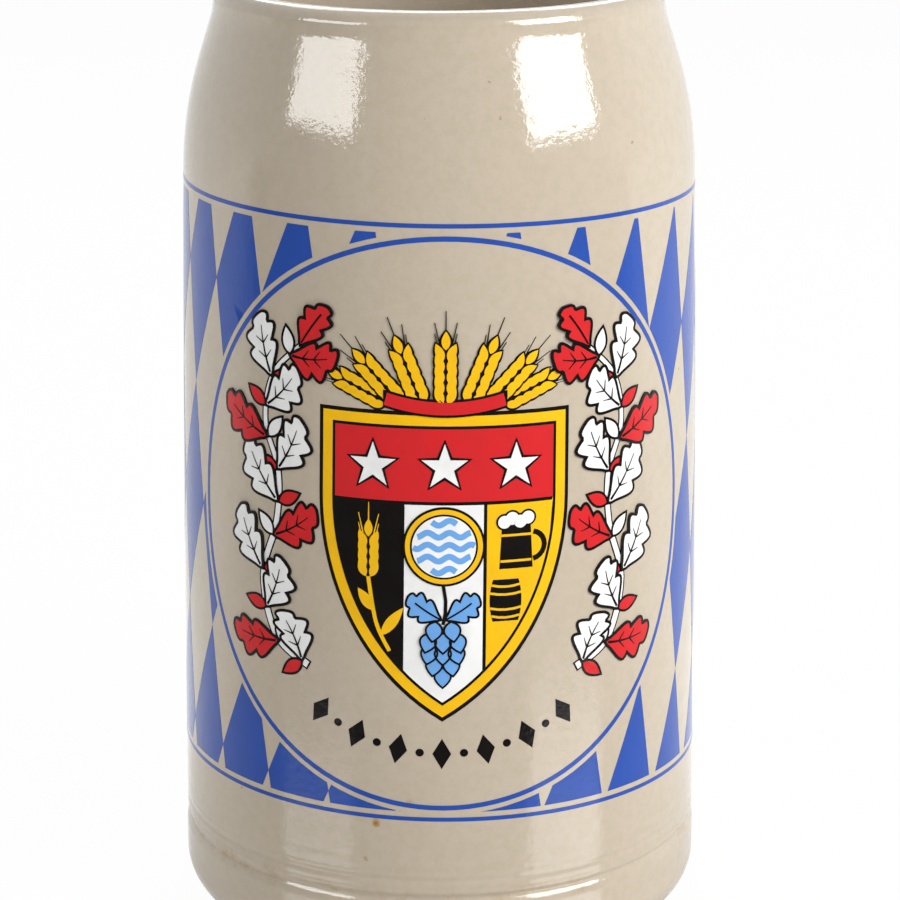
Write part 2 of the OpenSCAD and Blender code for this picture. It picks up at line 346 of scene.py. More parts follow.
def add_node(tree, kind, settings=None, inputs=None, links=None, stops=()):
    """Adds a shader node: its settings, input values, links from sources, and a ramp's stops."""
    node = tree.nodes.new(kind)
    for key, value in (settings or {}).items():
        setattr(node, key, value)
    for key, value in (inputs or {}).items():
        node.inputs[key].default_value = value
    for key, source in (links or {}).items():
        tree.links.new(source, node.inputs[key])
    for element, (place, colour) in zip(node.color_ramp.elements if stops else (), stops):
        element.position = place
        element.color = colour
    return node


# Settings that several nodes share
SMOOTH_STEP = {"interpolation_type": "SMOOTHSTEP"}
MULTIPLY = {"operation": "MULTIPLY"}
SUBTRACT = {"operation": "SUBTRACT"}
LARGER = {"operation": "MAXIMUM"}
COLOUR_MIX = {"data_type": "RGBA"}


def falling(start, end, top=1.0):
    """A range that falls from top at start to 0 at end."""
    return {"From Min": start, "From Max": end, "To Min": top, "To Max": 0.0}


def grain_of(size_mm, detail, roughness):
    """Noise values for a pattern whose grains are about this many millimetres wide."""
    return {"Scale": 1 / (size_mm * MM), "Detail": detail, "Roughness": roughness}


def new_material(name):
    material = bpy.data.materials.new(name)
    material.use_nodes = True
    tree = material.node_tree
    shader = tree.nodes["Principled BSDF"]
    return material, tree, shader


def grey(level):
    return (level, level, level, 1.0)


# Size of the glaze's slow waves and of its orange-peel dimples, in mm, and their depths
WAVE_MM = 9.0
WAVE_DEPTH_MM = 0.05
PEEL_MM = 1.3
PEEL_DEPTH_MM = 0.05


def glaze_relief(tree, place):
    """The skin of a fired glaze: orange-peel dimples over slow waves, which ruffle highlights."""
    relief = None
    for grain_mm, detail, roughness, depth_mm in (
        (WAVE_MM, 1.0, 0.4, WAVE_DEPTH_MM),
        (PEEL_MM, 2.0, 0.55, PEEL_DEPTH_MM),
    ):
        height = add_node(
            tree,
            "ShaderNodeTexNoise",
            inputs=grain_of(grain_mm, detail, roughness),
            links={"Vector": place},
        )
        links = {"Height": height.outputs["Fac"]}
        if relief:
            links["Normal"] = relief.outputs["Normal"]
        relief = add_node(
            tree,
            "ShaderNodeBump",
            inputs={"Strength": 1.0, "Distance": depth_mm * MM},
            links=links,
        )
    return relief


# Marks burnt into the glaze: colour, place in mm, radius in mm and how dark
BURNT_MARKS = (
    ("ochre", (-13.1, -54.4, 34.4), 1.2, 0.85),
    ("iron", (-13.3, -54.4, 34.5), 0.5, 0.5),
    ("ochre", (-15.3, -54.0, 26.2), 0.7, 0.5),
    ("ochre", (-6.2, -55.1, 39.4), 1.3, 0.3),
    ("iron", (-4.0, -55.3, 40.6), 0.3, 0.8),
    ("iron", (1.1, -46.9, 193.7), 0.3, 0.5),
    ("iron", (-2.8, -51.3, 180.2), 0.3, 0.5),
    ("iron", (9.7, -48.5, 186.9), 0.35, 0.5),
    ("iron", (11.8, -50.0, 180.1), 0.35, 0.6),
    ("iron", (38.4, -36.4, 172.9), 0.4, 0.6),
)


def glazed_stoneware(name="Glazed stoneware"):
    """Greige stoneware, dipped in a clear glaze and fired: glossy over a faint mottle.

    Iron specks and burnt marks stand in it, and ochre stains lie in the turned groove.
    """
    material, tree, shader = new_material(name)
    place = add_node(tree, "ShaderNodeTexCoord").outputs["Object"]
    mottle = add_node(
        tree, "ShaderNodeTexNoise", inputs=grain_of(2.2, 3.0, 0.65), links={"Vector": place}
    )
    base = add_node(
        tree,
        "ShaderNodeValToRGB",
        links={"Fac": mottle.outputs["Fac"]},
        stops=[(0.36, linear(colours().ware_dark)), (0.6, linear(colours().ware))],
    ).outputs["Color"]
    ragged = ragged_place(tree, place)
    layers = [("iron", iron_specks(tree, place)), ("ochre", groove_stain(tree, place))]
    for colour, centre, radius, strength in BURNT_MARKS:
        layers.append((colour, burnt_mark(tree, ragged, centre, radius, strength)))
    for colour, mask in layers:
        base = add_node(
            tree,
            "ShaderNodeMix",
            COLOUR_MIX,
            inputs={7: linear(getattr(colours(), colour))},
            links={0: mask, 6: base},
        ).outputs[2]
    tree.links.new(base, shader.inputs["Base Color"])
    relief = glaze_relief(tree, place)
    tree.links.new(relief.outputs["Normal"], shader.inputs["Normal"])
    shader.inputs["Roughness"].default_value = 0.08
    shader.inputs["IOR"].default_value = 1.62
    return material


def iron_specks(tree, place):
    """Mask of a few pin-head specks of iron, in one cell in five."""
    cells = add_node(
        tree,
        "ShaderNodeTexVoronoi",
        inputs={"Scale": 1 / (7 * MM), "Randomness": 1.0},
        links={"Vector": place},
    )
    pick = add_node(tree, "ShaderNodeSeparateColor", links={"Color": cells.outputs["Color"]})
    chosen = add_node(
        tree,
        "ShaderNodeMapRange",
        SMOOTH_STEP,
        falling(0.16, 0.24, top=0.6),
        {"Value": pick.outputs["Red"]},
    )
    dot = add_node(
        tree,
        "ShaderNodeMapRange",
        SMOOTH_STEP,
        falling(0.025, 0.05),
        {"Value": cells.outputs["Distance"]},
    )
    return add_node(
        tree,
        "ShaderNodeMath",
        MULTIPLY,
        links={0: dot.outputs["Result"], 1: chosen.outputs["Result"]},
    ).outputs[0]


def groove_stain(tree, place):
    """Mask of the ochre that ran into the turned groove, in patches."""
    axes = add_node(tree, "ShaderNodeSeparateXYZ", links={"Vector": place})
    groove_z = (Outline.foot_band_h + 0.5) * MM
    above = add_node(
        tree, "ShaderNodeMath", SUBTRACT, inputs={1: groove_z}, links={0: axes.outputs["Z"]}
    )
    away = add_node(
        tree, "ShaderNodeMath", {"operation": "ABSOLUTE"}, links={0: above.outputs[0]}
    )
    patches = add_node(
        tree, "ShaderNodeTexNoise", inputs=grain_of(11, 5.0, 0.75), links={"Vector": place}
    )
    missing = add_node(
        tree,
        "ShaderNodeMapRange",
        SMOOTH_STEP,
        falling(0.47, 0.72),
        {"Value": patches.outputs["Fac"]},
    )
    present = add_node(
        tree, "ShaderNodeMath", SUBTRACT, inputs={0: 1.0}, links={1: missing.outputs["Result"]}
    )
    near = add_node(
        tree,
        "ShaderNodeMapRange",
        SMOOTH_STEP,
        falling(0.2 * MM, 3.2 * MM, top=0.55),
        {"Value": away.outputs[0]},
    )
    return add_node(
        tree, "ShaderNodeMath", MULTIPLY, links={0: near.outputs["Result"], 1: present.outputs[0]}
    ).outputs[0]


def ragged_place(tree, place):
    """The place, shifted up to 0.6 mm at random, so that marks get ragged edges."""
    shift = add_node(
        tree, "ShaderNodeTexNoise", inputs=grain_of(0.9, 2.0, 0.6), links={"Vector": place}
    )
    scaled = add_node(
        tree,
        "ShaderNodeVectorMath",
        {"operation": "MULTIPLY_ADD"},
        inputs={1: (1.2 * MM,) * 3, 2: (-0.6 * MM,) * 3},
        links={0: shift.outputs["Color"]},
    )
    return add_node(
        tree,
        "ShaderNodeVectorMath",
        {"operation": "ADD"},
        links={0: place, 1: scaled.outputs["Vector"]},
    ).outputs["Vector"]


def burnt_mark(tree, place, centre, radius, strength):
    """Mask of one round mark, soft at its edge."""
    distance = add_node(
        tree,
        "ShaderNodeVectorMath",
        {"operation": "DISTANCE"},
        inputs={1: tuple(c * MM for c in centre)},
        links={0: place},
    )
    return add_node(
        tree,
        "ShaderNodeMapRange",
        SMOOTH_STEP,
        falling(0.35 * radius * MM, radius * MM, top=strength),
        {"Value": distance.outputs["Value"]},
    ).outputs["Result"]


def bare_stoneware():
    """Unglazed fired clay: matt, sandy and a little darker than the glazed ware."""
    material, tree, shader = new_material("Bare stoneware")
    place = add_node(tree, "ShaderNodeTexCoord").outputs["Object"]
    sand = add_node(
        tree, "ShaderNodeTexNoise", inputs=grain_of(0.8, 5.0, 0.7), links={"Vector": place}
    )
    base = add_node(
        tree,
        "ShaderNodeValToRGB",
        links={"Fac": sand.outputs["Fac"]},
        stops=[(0.3, linear(colours().sandy_clay)), (0.7, linear(colours().bare_clay))],
    )
    bump = add_node(
        tree,
        "ShaderNodeBump",
        inputs={"Strength": 0.6, "Distance": 0.05 * MM},
        links={"Height": sand.outputs["Fac"]},
    )
    tree.links.new(base.outputs["Color"], shader.inputs["Base Color"])
    tree.links.new(bump.outputs["Normal"], shader.inputs["Normal"])
    shader.inputs["Roughness"].default_value = 0.85
    return material


def fired_ink(ink):
    """On-glaze transfer ink, fired in: an even colour, a little thinner in clouds, and glossy."""
    name = "Fired " + ink.replace("_", " ") + " ink"
    if name in bpy.data.materials:
        return bpy.data.materials[name]
    material, tree, shader = new_material(name)
    place = add_node(tree, "ShaderNodeTexCoord").outputs["Object"]
    cloud = add_node(
        tree, "ShaderNodeTexNoise", inputs=grain_of(6, 3.0, 0.5), links={"Vector": place}
    )
    full = linear(getattr(colours(), ink))
    thin = tuple(0.93 * c + 0.002 for c in full[:3]) + (1.0,)
    base = add_node(
        tree,
        "ShaderNodeValToRGB",
        links={"Fac": cloud.outputs["Fac"]},
        stops=[(0.35, thin), (0.6, full)],
    )
    tree.links.new(base.outputs["Color"], shader.inputs["Base Color"])
    relief = glaze_relief(tree, place)
    tree.links.new(relief.outputs["Normal"], shader.inputs["Normal"])
    shader.inputs["Roughness"].default_value = 0.16
    shader.inputs["IOR"].default_value = 1.42
    return material


# ---------------------------------------------------------------- the print, bent round the wall

# The print is drawn flat, in mm: u across from the mug's front, z up. It leans a little, and its
# medallion sits a little to the right.
PRINT_LEAN = 0.6
PRINT_ROUND = 310.0
LINE_W = 0.9
LINE_DROP = 2.5
LINE_RISE = 16.8
LINE_GAP = 1.1
RING_U = 0.9
RING_W = 1.05
RING_LINE_GAP = 1.55
RING_GAP = 1.0
LOZENGE_W = 14.87
LOZENGE_H = 49.73
ROW_SLANT = 5.5
COLUMN_SLANT = 7.7
# Height of each ink layer over the one below it, and how deep its underside is sunk
LAYER = 0.03
SINK = 0.02


class Print:
    """Places of the print's main lines, from the body's outline."""

    def __init__(self, outline):
        self.outline = outline
        self.top_z = outline.wall_z1 - LINE_DROP
        self.foot_z = outline.wall_z0 + LINE_RISE
        self.centre = Vector((RING_U, (self.top_z + self.foot_z) / 2))
        self.ring_r = (self.top_z - self.foot_z - LINE_W) / 2 - RING_LINE_GAP
        self.radius = outline.wall_r(self.centre.y)
        self.half_round = math.radians(PRINT_ROUND / 2) * self.radius

    def place(self, point):
        """A point of the emblem, given from the ring's middle, on the leaning print."""
        return self.centre + Matrix.Rotation(math.radians(-PRINT_LEAN), 2) @ Vector(point)


def add_shape(bm, points, layer=1):
    """A flat filled shape on a layer: x across, y = layer, z up."""
    return bm.faces.new([bm.verts.new((p[0], layer, p[1])) for p in points])


def add_stroke(bm, points, width, layer=1, closed=False):
    """A stroke along a line of points. width is one number, or one for each point."""
    pts = [Vector(p) for p in points]
    count = len(pts)
    widths = width if isinstance(width, (list, tuple)) else [width] * count
    left, right = [], []
    for i, p in enumerate(pts):
        before = pts[i - 1] if closed or i else None
        after = pts[(i + 1) % count] if closed or i < count - 1 else None
        a = (p - before).normalized() if before else (after - p).normalized()
        b = (after - p).normalized() if after else a
        way = (a + b).normalized() if (a + b).length > 1e-6 else a
        side = Vector((-way.y, way.x))
        mitre = min(1.6, 1 / max(0.35, side.dot(Vector((-a.y, a.x)))))
        for row, sign in ((left, 1), (right, -1)):
            edge = p + side * (sign * mitre * widths[i] / 2)
            row.append(bm.verts.new((edge.x, layer, edge.y)))
    for i in range(count if closed else count - 1):
        j = (i + 1) % count
        bm.faces.new((right[i], right[j], left[j], left[i]))


def cut(bm, place, normal, clear_outer=False, clear_inner=False):
    bmesh.ops.bisect_plane(
        bm,
        geom=bm.verts[:] + bm.edges[:] + bm.faces[:],
        dist=1e-6,
        plane_co=place,
        plane_no=normal,
        clear_outer=clear_outer,
        clear_inner=clear_inner,
    )


def cut_out_circle(bm, centre, radius, segments=120):
    """Removes what lies inside a circle of the print, cut in sectors and along each chord."""
    middle = Vector((centre.x, 0, centre.y))
    step = math.tau / segments
    for i in range(segments // 2):
        cut(bm, middle, (-math.sin(i * step), 0, math.cos(i * step)))
    inner_r = radius * math.cos(step / 2)
    for i in range(segments):
        turn = (i + 0.5) * step
        out = Vector((math.cos(turn), 0, math.sin(turn)))
        geom = set()
        for face in bm.faces:
            away = face.calc_center_median() - middle
            if away.length < 2 * radius and away.normalized().dot(out) > math.cos(step / 2):
                geom.update((face, *face.edges, *face.verts))
        if geom:
            bmesh.ops.bisect_plane(
                bm, geom=list(geom), dist=1e-6, plane_co=middle + out * inner_r, plane_no=out
            )
    inside = [f for f in bm.faces if (f.calc_center_median() - middle).length < inner_r * 0.9999]
    bmesh.ops.delete(bm, geom=inside, context="FACES")


def bend_round_wall(bm, layout):
    """Cuts the flat shapes into patches, gives each its layer's height and bends them round."""
    for face in bm.faces:
        face.normal_update()
        if face.normal.y > 0:
            face.normal_flip()
    bmesh.ops.triangulate(bm, faces=bm.faces)
    for axis, patch in ((0, PATCH_W), (2, PATCH_H)):
        places = [v.co[axis] for v in bm.verts]
        for i in range(math.ceil(min(places) / patch), math.floor(max(places) / patch) + 1):
            normal = Vector((0, 0, 0))
            normal[axis] = 1
            cut(bm, normal * i * patch, normal)
    bmesh.ops.dissolve_degenerate(bm, dist=1e-5, edges=bm.edges)
    made = bmesh.ops.extrude_face_region(bm, geom=bm.faces[:], use_keep_orig=True)
    for v in (g for g in made["geom"] if isinstance(g, bmesh.types.BMVert)):
        v.co.y = 0
    for v in bm.verts:
        turn = v.co.x / layout.radius
        lift = v.co.y * LAYER if v.co.y > 0 else -SINK
        r = layout.outline.wall_r(v.co.z) + lift
        v.co = Vector((r * math.sin(turn), -r * math.cos(turn), v.co.z)) * MM
    bmesh.ops.recalc_face_normals(bm, faces=bm.faces)


def print_piece(name, bm, layout, material):
    bend_round_wall(bm, layout)
    piece = finish_piece(name, bm, [material], smooth_angle=math.radians(35))
    return piece


class Drawing:
    """The flat shapes of one part of the emblem, sorted by ink, in mm from the ring's middle."""

    def __init__(self, layout):
        self.layout = layout
        self.inks = {}

    def ink(self, name):
        if name not in self.inks:
            self.inks[name] = bmesh.new()
        return self.inks[name]

    def fill(self, ink, points, layer):
        add_shape(self.ink(ink), [self.layout.place(p) for p in points], layer)

    def line(self, ink, points, width, layer, closed=False):
        add_stroke(self.ink(ink), [self.layout.place(p) for p in points], width, layer, closed)

    def keyed(self, ink, points, layer, key=0.5):
        """A filled shape with a black line along its edge."""
        self.fill(ink, points, layer)
        self.line("black", points, key, layer + 1, closed=True)

    def pieces(self, name):
        """One piece for each ink."""
        made = []
        for ink, bm in self.inks.items():
            material = fired_ink(ink)
            made.append(print_piece(f"{name}_{ink}", bm, self.layout, material))
        return made


def way(angle):
    """Unit vector at an angle in degrees, anticlockwise from the right."""
    return Vector((math.cos(math.radians(angle)), math.sin(math.radians(angle))))


def mirrored(points):
    return [Vector((-p[0], p[1])) for p in points]


def disc(centre, radius, steps=36):
    return [Vector(centre) + radius * way(360 * i / steps) for i in range(steps)]


def star(centre, radius, points=5, inner=0.42):
    ring = []
    for i in range(2 * points):
        reach = radius * (1 if i % 2 == 0 else inner)
        ring.append(Vector(centre) + reach * way(90 + 180 * i / points))
    return ring


def grain(base, angle, length, width, steps=9):
    """A pointed oval, as of a barley corn."""
    along, side = way(angle), way(angle + 90)
    edge = []
    for t in spread(0, 1, steps):
        edge.append((t, width / 2 * math.sin(math.pi * t**0.85) ** 0.9 if 0 < t < 1 else 0))
    points = [Vector(base) + along * length * t + side * w for t, w in edge]
    return points + [Vector(base) + along * length * t - side * w for t, w in edge[-2:0:-1]]


def leaf(base, angle, length, width, bend=0.0, lobes=3, steps=30):
    """A lobed leaf: its outline, and its midrib from the base towards the tip."""
    along, side = way(angle), way(angle + 90)
    rib, edges = [], ([], [])
    for t in spread(0, 1, steps):
        spine = Vector(base) + along * length * t + side * bend * t * t
        rib.append(spine)
        lobe = 0.6 + 0.4 * abs(math.cos(math.pi * (lobes * t**1.15 + 0.35)))
        half = width / 2 * math.sin(math.pi * t**0.9) ** 0.75 * lobe if 0 < t < 1 else 0
        sweep = along * 0.45 * half
        edges[0].append(spine + side * half + sweep)
        edges[1].append(spine - side * half + sweep)
    return edges[0] + edges[1][-2:0:-1], rib


# ---------------------------------------------------------------- the emblem


class MUG_OT_shield(bpy.types.Operator):
    """Prints the shield: stars over barley, hops, and a tankard with its cask"""

    bl_idname = "mug.shield"
    bl_label = "Shield"

    width: bpy.props.FloatProperty(
        name="Width", description="Across the top", default=0.052, unit="LENGTH"
    )
    height: bpy.props.FloatProperty(
        name="Height", description="Top to point", default=0.065, unit="LENGTH"
    )
    drop: bpy.props.FloatProperty(
        name="Drop", description="Its middle below the ring's", default=0.008, unit="LENGTH"
    )

    # Insets from the shield's outer edge, in mm: its gold border, its black field and the charges
    border_inset = 0.8
    field_inset = 2.9
    charge_inset = 3.5
    # Half width of the middle upright, the red chief's depth, and the black line between fields
    pale_half = 8.3
    chief_h = 18.5
    line_w = 0.7

    def execute(self, context):
        drawing = Drawing(Print(Outline(sizes())))
        self.half = self.width / MM / 2
        self.top = (self.height / 2 - self.drop) / MM
        self.flank = 0.28 * self.height / MM
        curved = self.height / MM - self.flank
        self.flank_r = (self.half**2 + curved**2) / (2 * self.half)
        drawing.fill("black", self.outline(0), 1)
        drawing.fill("yellow", self.outline(self.border_inset), 2)
        drawing.fill("black", self.outline(self.field_inset), 3)
        self.fields(drawing)
        self.stars(drawing)
        self.barley(drawing)
        self.hops(drawing)
        self.tankard(drawing)
        self.roundel(drawing)
        for piece in drawing.pieces("shield"):
            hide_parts("shield_transfer")
        return {"FINISHED"}

    def edge(self, inset, z):
        """Half width of the shield, set in, at a height."""
        below = self.top - self.flank - z
        if below <= 0:
            return self.half - inset
        return self.half - self.flank_r + math.sqrt(max(0, (self.flank_r - inset) ** 2 - below**2))

    def point_z(self, inset):
        reach = math.sqrt((self.flank_r - inset) ** 2 - (self.flank_r - self.half) ** 2)
        return self.top - self.flank - reach

    def side(self, inset, high, low, steps=40):
        """The right-hand edge, set in, from one height down to another."""
        low = max(low, self.point_z(inset) + 1e-4)
        return [Vector((self.edge(inset, z), z)) for z in spread(high, low, steps)]

    def outline(self, inset):
        right = self.side(inset, self.top - inset, self.point_z(inset))
        right[-1].x = 0
        return right + mirrored(right[:-1])[::-1]

    def field(self, inset, left, right, high):
        """The shield's inside between two uprights, from a height down to its lower edge."""
        foot = []
        for u in spread(left, right, 24):
            low = self.top - self.flank - math.sqrt(
                (self.flank_r - inset) ** 2 - (abs(u) + self.flank_r - self.half) ** 2
            )
            foot.append(Vector((u, low)))
        return [Vector((right, high)), Vector((left, high))] + foot

    def fields(self, drawing):
        """The red chief, and under it the white and the yellow field beside the black one."""
        inset, gap = self.charge_inset, self.line_w / 2
        edge, top = self.half - inset, self.top - inset
        self.chief_z = self.top - self.chief_h
        chief = [(-edge, top), (edge, top), (edge, self.chief_z), (-edge, self.chief_z)]
        drawing.fill("red", chief, 4)
        self.low = self.chief_z - self.line_w
        inner, outer = self.pale_half - gap, self.pale_half + gap
        drawing.fill("white", self.field(inset, -inner, inner, self.low), 4)
        drawing.fill("yellow", self.field(inset, outer, edge - 1e-3, self.low), 4)

    def stars(self, drawing):
        z = (self.top - self.charge_inset + self.chief_z) / 2 - 0.4
        for u in (-14.5, 0, 14.5):
            drawing.keyed("white", star((u, z), 5.4), 5, key=0.55)

    def barley(self, drawing):
        """A gold ear on its stalk, with two leaves, on the black pale."""
        bends = ((-10.8, -31), (-13.6, -25), (-15.3, -15.5))
        stalk = smooth_line([Vector((u, self.low + z)) for u, z in bends], 8)
        drawing.line("yellow", stalk, 0.8, 5)
        for side, at, length in ((-1, 5, 7.6), (1, 10, 5.6)):
            drawing.fill("yellow", grain(stalk[at], 90 + side * 36, length, 2.3), 5)
        ear(drawing, Vector((-15.3, self.low - 15.5)), 90, 10.5, 5, key=False)

    def hops(self, drawing):
        """Light blue hop cones hanging under two leaves, on the white pale."""
        hop_cone(drawing, Vector((0, self.low - 38.5)), 9.2, 14.5, 5)
        for side in (1, -1):
            base = (side * 0.4, self.low - 24.0)
            shape, rib = leaf(base, 90 - side * 62, 8.2, 6.0, bend=side * 1.0)
            drawing.keyed("light_blue", shape, 5, key=0.45)
            drawing.line("black", rib[:24], 0.35, 7)
        steps = (0, 0.5, 1, 1.5, 2)
        stem = [Vector((0.5 * math.sin(2 * t), self.low - 25 + 5 * t)) for t in steps]
        drawing.line("black", stem, 0.7, 7)

    def tankard(self, drawing):
        """A black tankard with foam over a black cask, on the yellow pale."""
        middle, foot = 15.6, self.low - 13.6
        walls = ((-4.4, 0), (2.6, 0), (2.1, 9.2), (-3.9, 9.2))
        drawing.fill("black", [(middle + u, foot + z) for u, z in walls], 5)
        grip = [Vector((middle + 2.2, foot + 4.6)) + 2.9 * way(a) for a in range(-80, 81, 16)]
        drawing.line("black", grip, 1.1, 5)
        for ink, radius, layer in (("black", 1.75, 6), ("white", 1.35, 7)):
            for u, z in ((-3.4, 9.8), (-1.8, 10.5), (-0.1, 9.8), (1.5, 10.5)):
                drawing.fill(ink, disc((middle + u, foot + z), radius, 20), layer)
        for z in (1.6, 7.0):
            drawing.line("yellow", [(middle - 4.2, foot + z), (middle + 2.3, foot + z)], 0.5, 6)
        cask(drawing, Vector((12.6, foot - 6.6)), 6.6, 8.8, 5)

    def roundel(self, drawing):
        """A small disc of light blue and white waves over the meeting of the pales."""
        centre = Vector((0, self.low - 8.6))
        drawing.fill("black", disc(centre, 8.3, 60), 8)
        drawing.fill("yellow", disc(centre, 7.8, 60), 9)
        drawing.fill("black", disc(centre, 6.8, 60), 10)
        drawing.fill("white", disc(centre, 6.4, 60), 11)
        for k in range(-2, 3):
            line = []
            half = math.sqrt(6.2**2 - (abs(k) * 2.5 + 0.7) ** 2)
            for u in spread(-half, half, 32):
                line.append(centre + Vector((u, 2.5 * k + 0.5 * math.sin(u * 1.45))))
            drawing.line("light_blue", line, 1.25, 12)


def ear(drawing, base, angle, length, layer, key=True):
    """An ear of barley: corns in two rows, one at the tip, and their awns."""
    along, side = way(angle), way(angle + 90)
    rows = max(4, round(length / 2.6))
    pitch = length / (rows + 1)
    for i in range(rows + 1):
        root = base + along * pitch * i
        for sign in (1, -1) if i < rows else (0,):
            turn = angle + sign * 24
            start = root + side * sign * 0.5
            size = pitch * 1.75
            awn = way(angle + sign * 13) * pitch
            width = 0.47 * size
            if key:
                drawing.line("black", [start, start + awn * 3.6], [0.35, 0.12], layer)
                husk = grain(start - way(turn) * 0.45, turn, size + 0.9, width + 1.0)
                drawing.fill("black", husk, layer + 1)
            else:
                drawing.line("yellow", [start, start + awn * 3.4], [0.35, 0.15], layer)
            drawing.fill("yellow", grain(start, turn, size, width), layer + 2)


def hop_cone(drawing, tip, width, height, layer):
    """A hop cone: rows of broad light blue scales with black edges, each over the row below."""
    # Each row of scales: its height, how many there are and how far they span, as shares
    rows = ((0.30, 1, 0.0), (0.47, 2, 0.42), (0.64, 3, 0.66), (0.81, 3, 0.72), (0.98, 2, 0.44))
    for row, (rise, count, span) in enumerate(rows):
        for i in range(count):
            u = 0 if count == 1 else (i / (count - 1) - 0.5) * span * width
            root = tip + Vector((0.75 * u, rise * height))
            scale = grain(root, -90 + 4.5 * u, height * 0.3, width * 0.36)
            drawing.keyed("light_blue", scale, layer + 2 * row, key=0.4)


def cask(drawing, middle, width, height, layer):
    """A cask on its end: bulging staves and four hoops."""
    flank = []
    for t in spread(-1, 1, 12):
        flank.append(Vector((width / 2 * (1 - 0.2 * t * t), height / 2 * t)))
    drawing.fill("black", [middle + p for p in flank + mirrored(flank)[::-1]], layer)
    for t in (-0.74, -0.36, 0.36, 0.74):
        half = width / 2 * (1 - 0.2 * t * t)
        z = height / 2 * t
        hoop = [middle + Vector((half * k, z - 0.4 * (1 - k * k))) for k in (-1, -0.5, 0, 0.5, 1)]
        drawing.line("yellow", hoop, 0.5, layer + 1)


class MUG_OT_crest(bpy.types.Operator):
    """Prints the fan of barley ears over the shield"""

    bl_idname = "mug.crest"
    bl_label = "Crest"

    def execute(self, context):
        drawing = Drawing(Print(Outline(sizes())))
        root = Vector((0, 22.0))
        for k, angle in enumerate((24, 156, 46, 134, 68, 112, 90)):
            start = root + Vector((13.0 * math.cos(math.radians(angle)), 4.2))
            stalk = [root + Vector((start.x * 0.35, 2.6)), start + way(angle) * 1.5]
            drawing.line("black", stalk, 1.0, 1)
            ear(drawing, start, angle, 11.5 + 1.6 * math.sin(math.radians(angle)), 1 + k)
        band = [Vector((u, 25.2 + 0.012 * u * u)) for u in range(-12, 13, 2)]
        over = Vector((0.5, 0))
        drawing.line("black", [band[0] - over, *band, band[-1] + over], 3.6, 9)
        drawing.line("red", band, 2.6, 10)
        drawing.pieces("crest")
        return {"FINISHED"}


class MUG_OT_sprays(bpy.types.Operator):
    """Prints a spray of red and white leaves on each side of the shield"""

    bl_idname = "mug.sprays"
    bl_label = "Leaf sprays"

    # Where the spray's stem passes on the right, from the ring's middle
    stem = (
        (28.5, -31), (36.5, -26), (40, -14), (36.5, -2),
        (36, 9), (39.5, 19), (37.5, 29), (30.5, 36),
    )

    def execute(self, context):
        drawing = Drawing(Print(Outline(sizes())))
        path = smooth_line([Vector(p) for p in self.stem], 8)
        for flip in (False, True):
            self.spray(drawing, path, flip)
        drawing.pieces("sprays")
        return {"FINISHED"}

    def spray(self, drawing, path, flip):
        turn = mirrored if flip else (lambda points: points)
        widths = [1.5 - 0.7 * i / (len(path) - 1) for i in range(len(path))]
        cut_end = path[0] + (path[0] - path[1]).normalized() * 0.4
        edged = [w + 0.7 for w in widths[:1] + widths]
        drawing.line("black", turn([cut_end] + path), edged, 1)
        drawing.line("white", turn(path), widths, 2)
        leaves = 11
        for k in range(leaves):
            at = (k + 0.35) / leaves * (len(path) - 1)
            i = int(at)
            after = path[min(i + 1, len(path) - 1)]
            base = path[i].lerp(after, at - i)
            ahead = (after - path[i]).normalized()
            angle = math.degrees(math.atan2(ahead.y, ahead.x))
            side = 1 if k % 2 else -1
            length = (14.5 if side > 0 else 12.8) - 2.0 * abs(2 * k / (leaves - 1) - 1)
            bud = grain(base, angle + side * 60, 6.0, 3.0)
            drawing.keyed("red" if k % 3 != 1 else "white", turn(bud), 3, key=0.5)
            shape, rib = leaf(base, angle - side * 52, length, 9.0, bend=side * 3.0)
            layer = 5 + 3 * (k % 4)
            drawing.keyed("red" if k % 3 == 1 else "white", turn(shape), layer, key=0.6)
            tapered = [0.55 - 0.018 * n for n in range(23)]
            drawing.line("black", turn(rib[2:25]), tapered, layer + 2)
            self.veins(drawing, rib, turn, layer + 2)
        shape, rib = leaf(path[-1], 120, 10.5, 7.0, bend=1.2)
        drawing.keyed("red", turn(shape), 17, key=0.6)
        drawing.line("black", turn(rib[2:25]), 0.4, 19)

    def veins(self, drawing, rib, turn, layer):
        along = (rib[-1] - rib[0]).normalized()
        across = Vector((-along.y, along.x))
        for i in (9, 16):
            for side in (1, -1):
                tip = rib[i] + along * 1.5 + across * side * 1.7
                drawing.line("black", turn([rib[i], tip]), [0.36, 0.12], layer)


def smooth_line(points, steps):
    """A smooth line through points, by Catmull-Rom."""
    line = []
    for i in range(len(points) - 1):
        p0, p1 = points[max(i - 1, 0)], points[i]
        p2, p3 = points[i + 1], points[min(i + 2, len(points) - 1)]
        for k in range(steps):
            t = k / steps
            square = (2 * p0 - 5 * p1 + 4 * p2 - p3) * t**2
            cube = (3 * p1 - p0 - 3 * p2 + p3) * t**3
            line.append(0.5 * (2 * p1 + (p2 - p0) * t + square + cube))
    return line + [points[-1]]


class MUG_OT_border_ornament(bpy.types.Operator):
    """Prints the arc of black diamonds and dots under the shield"""

    bl_idname = "mug.border_ornament"
    bl_label = "Arc ornament"

    radius: bpy.props.FloatProperty(
        name="Radius", description="From the ring's middle", default=0.0475, unit="LENGTH"
    )

    def execute(self, context):
        drawing = Drawing(Print(Outline(sizes())))
        radius = self.radius / MM
        for k in range(-6, 7):
            angle = -90 + 5.4 * k
            middle = radius * way(angle)
            out, side = way(angle), way(angle + 90)
            if k % 2 == 0:
                tips = (out * 3.3, side * 1.9, out * -3.3, side * -1.9)
                drawing.fill("black", [middle + tip for tip in tips], 1)
            else:
                drawing.fill("black", disc(middle, 0.85, 20), 1)
        drawing.pieces("arc_ornament")
        return {"FINISHED"}


